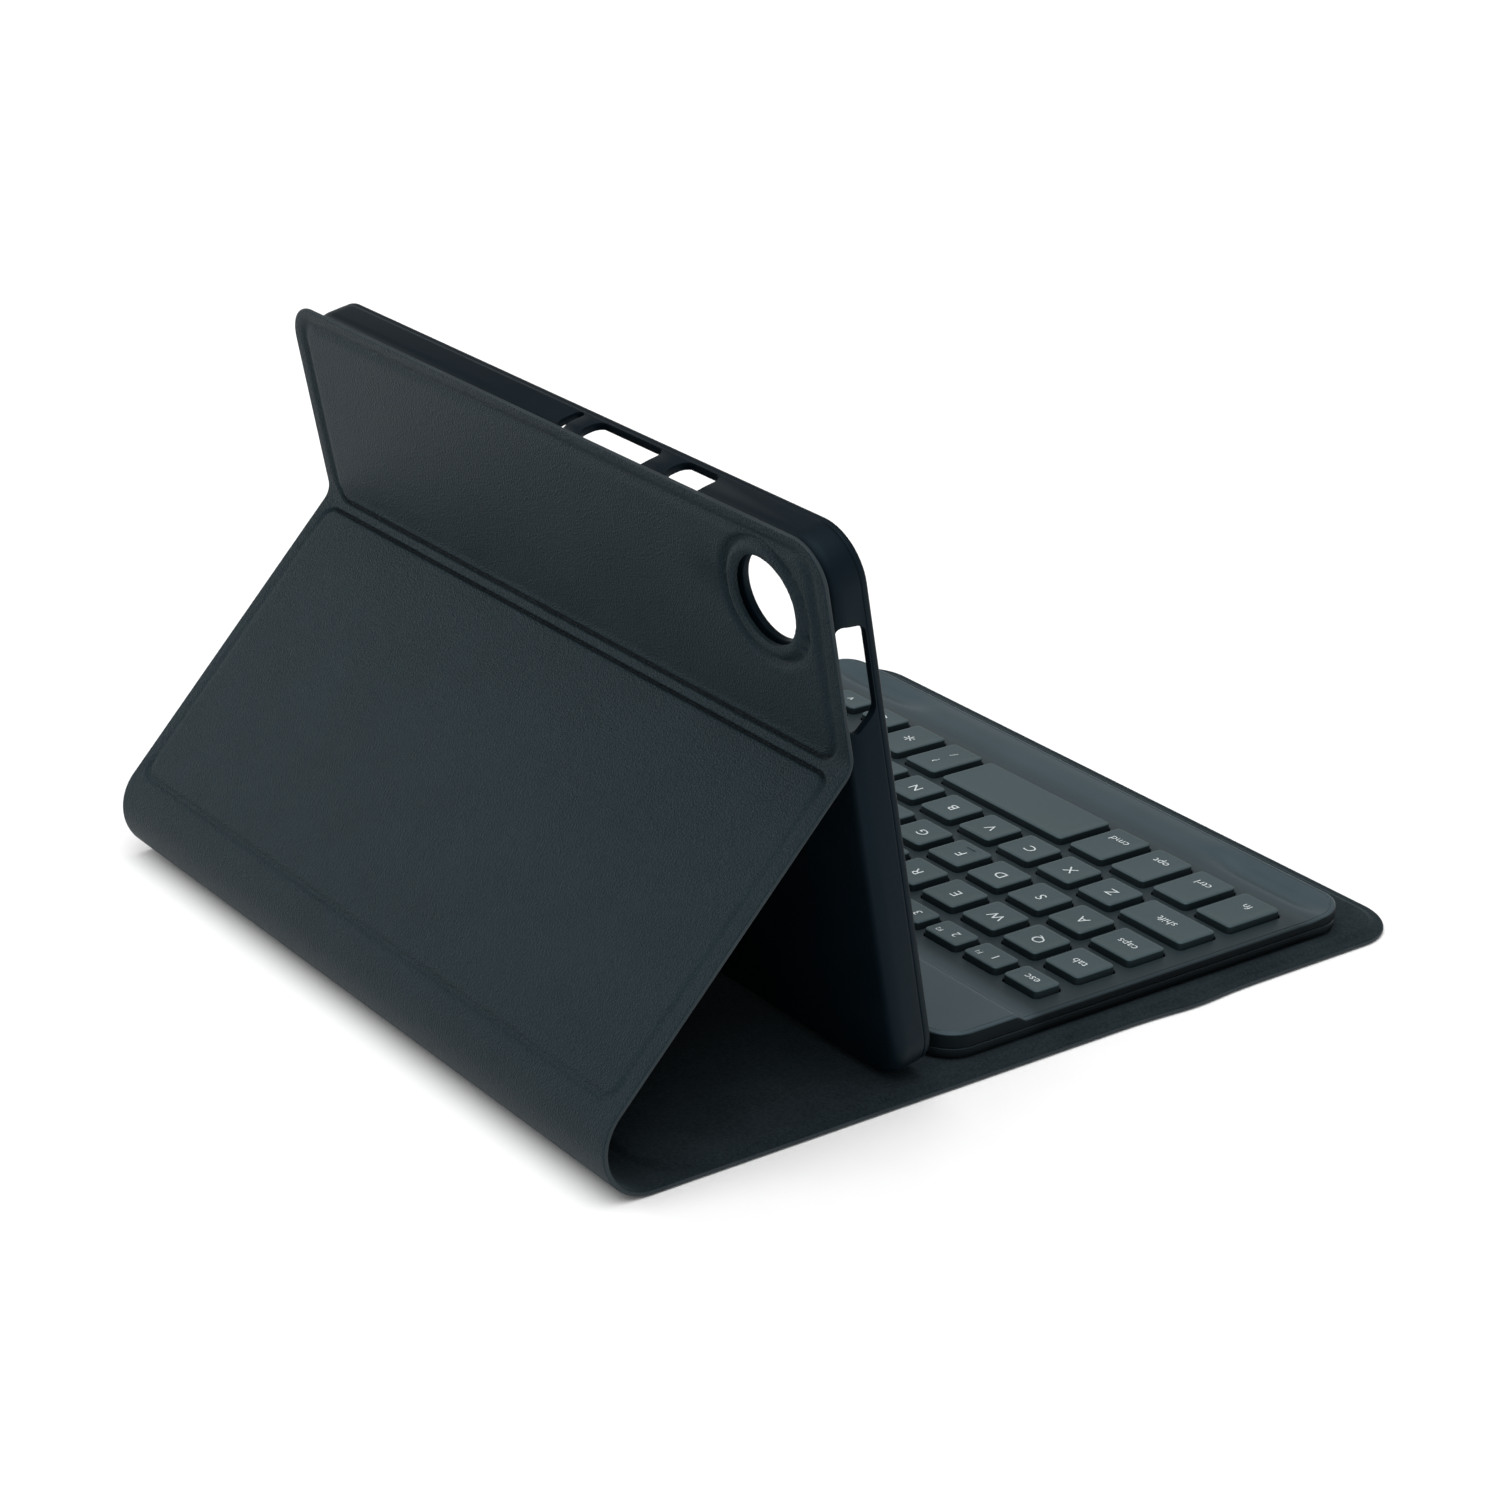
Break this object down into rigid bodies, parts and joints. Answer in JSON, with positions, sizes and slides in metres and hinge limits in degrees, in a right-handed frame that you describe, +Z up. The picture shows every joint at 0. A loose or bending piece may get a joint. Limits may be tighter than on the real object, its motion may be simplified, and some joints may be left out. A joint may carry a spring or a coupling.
{
  "type": "tablet keyboard case",
  "caption": "Folding leather-look tablet case, propped open as a stand, with a soft tray for the tablet and a thin keyboard held on its base.",
  "frame": {"origin": "under the middle of the case, on the surface that it stands on", "axes": "+Z up, +Y from the person typing towards the back of the stand, +X to their right"},
  "size_m": [0.215, 0.2475, 0.1405],
  "materials": {
    "leather": "fine-grained, satin",
    "lining": "matt microfibre",
    "board": "matt",
    "tray": "satin",
    "case_plastic": "fine moulded texture",
    "steel": "plain",
    "film": "satin",
    "cell": "foil",
    "circuit": "satin",
    "lens": "clear gloss",
    "key_plastic": "fine moulded texture"
  },
  "bodies": {
    "base": {"base_skin": "leather", "base_board": "board", "base_lining": "lining", "base_magnet_left": "steel", "base_magnet_right": "steel"},
    "spine": {"spine_skin": "leather", "spine_lining": "lining"},
    "lower_panel": {"lower_skin": "leather", "lower_board": "board", "lower_lining": "lining"},
    "upper_panel": {"upper_skin": "leather", "upper_board": "board", "upper_glue_sheet": "lining", "tablet_tray": "tray"},
    "keyboard": {"keyboard_bottom_case": "case_plastic", "keyboard_top_case": "case_plastic", "key_plate": "steel", "dome_sheet": "film", "battery": "cell", "circuit_board": "circuit", "charging_port": "steel", "status_light": "lens", "keyboard_magnet_left": "steel", "keyboard_magnet_right": "steel"},
    "power_switch": {"power_switch": "key_plastic"},
    "key_esc": {"key_esc": "key_plastic"},
    "key_1": {"key_1": "key_plastic"},
    "key_2": {"key_2": "key_plastic"},
    "key_3": {"key_3": "key_plastic"},
    "key_tab": {"key_tab": "key_plastic"},
    "key_q": {"key_q": "key_plastic"},
    "key_w": {"key_w": "key_plastic"},
    "key_e": {"key_e": "key_plastic"},
    "key_r": {"key_r": "key_plastic"},
    "key_caps": {"key_caps": "key_plastic"},
    "key_a": {"key_a": "key_plastic"},
    "key_s": {"key_s": "key_plastic"},
    "key_d": {"key_d": "key_plastic"},
    "key_f": {"key_f": "key_plastic"},
    "key_g": {"key_g": "key_plastic"},
    "key_shift": {"key_shift": "key_plastic"},
    "key_z": {"key_z": "key_plastic"},
    "key_x": {"key_x": "key_plastic"},
    "key_c": {"key_c": "key_plastic"},
    "key_v": {"key_v": "key_plastic"},
    "key_b": {"key_b": "key_plastic"},
    "key_n": {"key_n": "key_plastic"},
    "key_fn": {"key_fn": "key_plastic"},
    "key_ctrl": {"key_ctrl": "key_plastic"},
    "key_opt": {"key_opt": "key_plastic"},
    "key_cmd": {"key_cmd": "key_plastic"},
    "key_space": {"key_space": "key_plastic"},
    "key_slash": {"key_slash": "key_plastic"},
    "key_light": {"key_light": "key_plastic"},
    "key_left": {"key_left": "key_plastic"},
    "keys_row1_right": {"keys_row1_right": "key_plastic"},
    "keys_row2_right": {"keys_row2_right": "key_plastic"},
    "keys_row3_right": {"keys_row3_right": "key_plastic"},
    "keys_row4_right": {"keys_row4_right": "key_plastic"},
    "keys_row5_right": {"keys_row5_right": "key_plastic"}
  },
  "joints": [
    {"name": "cover_unfold", "type": "hinge", "parent": "base", "child": "spine", "pos_m": [0, 0.11766, 0.00209], "axis": [-1, 0, 0], "range_deg": [0, 66]},
    {"name": "cover_spine_fold", "type": "hinge", "parent": "spine", "child": "lower_panel", "pos_m": [0, 0.12368, 0.01563], "axis": [-1, 0, 0], "range_deg": [0, 66]},
    {"name": "cover_crease", "type": "hinge", "parent": "lower_panel", "child": "upper_panel", "pos_m": [0, 0.05861, 0.08729], "axis": [1, 0, 0], "range_deg": [0, 54.4]},
    {"name": "board_lift", "type": "slide", "parent": "base", "child": "keyboard", "axis": [0, 0, 1], "range_m": [0, 0.05]},
    {"name": "charge_switch", "type": "slide", "parent": "keyboard", "child": "power_switch", "axis": [0, 1, 0], "range_m": [0, 0.003]},
    {"name": "key_space_press", "type": "slide", "parent": "keyboard", "child": "key_space", "axis": [0, 0, -1], "range_m": [0, 0.0012], "stiffness_N_per_m": 400},
    {"name": "key_fn_press", "type": "slide", "parent": "keyboard", "child": "key_fn", "axis": [0, 0, -1], "range_m": [0, 0.0012], "stiffness_N_per_m": 400},
    {"name": "key_shift_press", "type": "slide", "parent": "keyboard", "child": "key_shift", "axis": [0, 0, -1], "range_m": [0, 0.0012], "stiffness_N_per_m": 400},
    {"name": "key_caps_press", "type": "slide", "parent": "keyboard", "child": "key_caps", "axis": [0, 0, -1], "range_m": [0, 0.0012], "stiffness_N_per_m": 400},
    {"name": "key_a_press", "type": "slide", "parent": "keyboard", "child": "key_a", "axis": [0, 0, -1], "range_m": [0, 0.0012], "stiffness_N_per_m": 400},
    {"name": "key_esc_press", "type": "slide", "parent": "keyboard", "child": "key_esc", "axis": [0, 0, -1], "range_m": [0, 0.0012], "stiffness_N_per_m": 400},
    {"name": "key_1_press", "type": "slide", "parent": "keyboard", "child": "key_1", "axis": [0, 0, -1], "range_m": [0, 0.0012], "stiffness_N_per_m": 400},
    {"name": "key_2_press", "type": "slide", "parent": "keyboard", "child": "key_2", "axis": [0, 0, -1], "range_m": [0, 0.0012], "stiffness_N_per_m": 400},
    {"name": "key_3_press", "type": "slide", "parent": "keyboard", "child": "key_3", "axis": [0, 0, -1], "range_m": [0, 0.0012], "stiffness_N_per_m": 400},
    {"name": "key_tab_press", "type": "slide", "parent": "keyboard", "child": "key_tab", "axis": [0, 0, -1], "range_m": [0, 0.0012], "stiffness_N_per_m": 400},
    {"name": "key_q_press", "type": "slide", "parent": "keyboard", "child": "key_q", "axis": [0, 0, -1], "range_m": [0, 0.0012], "stiffness_N_per_m": 400},
    {"name": "key_w_press", "type": "slide", "parent": "keyboard", "child": "key_w", "axis": [0, 0, -1], "range_m": [0, 0.0012], "stiffness_N_per_m": 400},
    {"name": "key_e_press", "type": "slide", "parent": "keyboard", "child": "key_e", "axis": [0, 0, -1], "range_m": [0, 0.0012], "stiffness_N_per_m": 400},
    {"name": "key_r_press", "type": "slide", "parent": "keyboard", "child": "key_r", "axis": [0, 0, -1], "range_m": [0, 0.0012], "stiffness_N_per_m": 400},
    {"name": "key_s_press", "type": "slide", "parent": "keyboard", "child": "key_s", "axis": [0, 0, -1], "range_m": [0, 0.0012], "stiffness_N_per_m": 400},
    {"name": "key_d_press", "type": "slide", "parent": "keyboard", "child": "key_d", "axis": [0, 0, -1], "range_m": [0, 0.0012], "stiffness_N_per_m": 400},
    {"name": "key_f_press", "type": "slide", "parent": "keyboard", "child": "key_f", "axis": [0, 0, -1], "range_m": [0, 0.0012], "stiffness_N_per_m": 400},
    {"name": "key_g_press", "type": "slide", "parent": "keyboard", "child": "key_g", "axis": [0, 0, -1], "range_m": [0, 0.0012], "stiffness_N_per_m": 400},
    {"name": "key_z_press", "type": "slide", "parent": "keyboard", "child": "key_z", "axis": [0, 0, -1], "range_m": [0, 0.0012], "stiffness_N_per_m": 400},
    {"name": "key_x_press", "type": "slide", "parent": "keyboard", "child": "key_x", "axis": [0, 0, -1], "range_m": [0, 0.0012], "stiffness_N_per_m": 400},
    {"name": "key_c_press", "type": "slide", "parent": "keyboard", "child": "key_c", "axis": [0, 0, -1], "range_m": [0, 0.0012], "stiffness_N_per_m": 400},
    {"name": "key_v_press", "type": "slide", "parent": "keyboard", "child": "key_v", "axis": [0, 0, -1], "range_m": [0, 0.0012], "stiffness_N_per_m": 400},
    {"name": "key_b_press", "type": "slide", "parent": "keyboard", "child": "key_b", "axis": [0, 0, -1], "range_m": [0, 0.0012], "stiffness_N_per_m": 400},
    {"name": "key_n_press", "type": "slide", "parent": "keyboard", "child": "key_n", "axis": [0, 0, -1], "range_m": [0, 0.0012], "stiffness_N_per_m": 400},
    {"name": "key_ctrl_press", "type": "slide", "parent": "keyboard", "child": "key_ctrl", "axis": [0, 0, -1], "range_m": [0, 0.0012], "stiffness_N_per_m": 400},
    {"name": "key_opt_press", "type": "slide", "parent": "keyboard", "child": "key_opt", "axis": [0, 0, -1], "range_m": [0, 0.0012], "stiffness_N_per_m": 400},
    {"name": "key_cmd_press", "type": "slide", "parent": "keyboard", "child": "key_cmd", "axis": [0, 0, -1], "range_m": [0, 0.0012], "stiffness_N_per_m": 400},
    {"name": "key_slash_press", "type": "slide", "parent": "keyboard", "child": "key_slash", "axis": [0, 0, -1], "range_m": [0, 0.0012], "stiffness_N_per_m": 400},
    {"name": "key_light_press", "type": "slide", "parent": "keyboard", "child": "key_light", "axis": [0, 0, -1], "range_m": [0, 0.0012], "stiffness_N_per_m": 400},
    {"name": "key_left_press", "type": "slide", "parent": "keyboard", "child": "key_left", "axis": [0, 0, -1], "range_m": [0, 0.0012], "stiffness_N_per_m": 400},
    {"name": "keys_row1_right_press", "type": "slide", "parent": "keyboard", "child": "keys_row1_right", "axis": [0, 0, -1], "range_m": [0, 0.0012], "stiffness_N_per_m": 800},
    {"name": "keys_row2_right_press", "type": "slide", "parent": "keyboard", "child": "keys_row2_right", "axis": [0, 0, -1], "range_m": [0, 0.0012], "stiffness_N_per_m": 800},
    {"name": "keys_row3_right_press", "type": "slide", "parent": "keyboard", "child": "keys_row3_right", "axis": [0, 0, -1], "range_m": [0, 0.0012], "stiffness_N_per_m": 800},
    {"name": "keys_row4_right_press", "type": "slide", "parent": "keyboard", "child": "keys_row4_right", "axis": [0, 0, -1], "range_m": [0, 0.0012], "stiffness_N_per_m": 800},
    {"name": "keys_row5_right_press", "type": "slide", "parent": "keyboard", "child": "keys_row5_right", "axis": [0, 0, -1], "range_m": [0, 0.0012], "stiffness_N_per_m": 800}
  ],
  "couplings": [
    {"joint": "cover_spine_fold", "follows": "cover_unfold", "ratio": 1},
    {"joint": "cover_crease", "follows": "cover_unfold", "ratio": 0.82423}
  ]
}
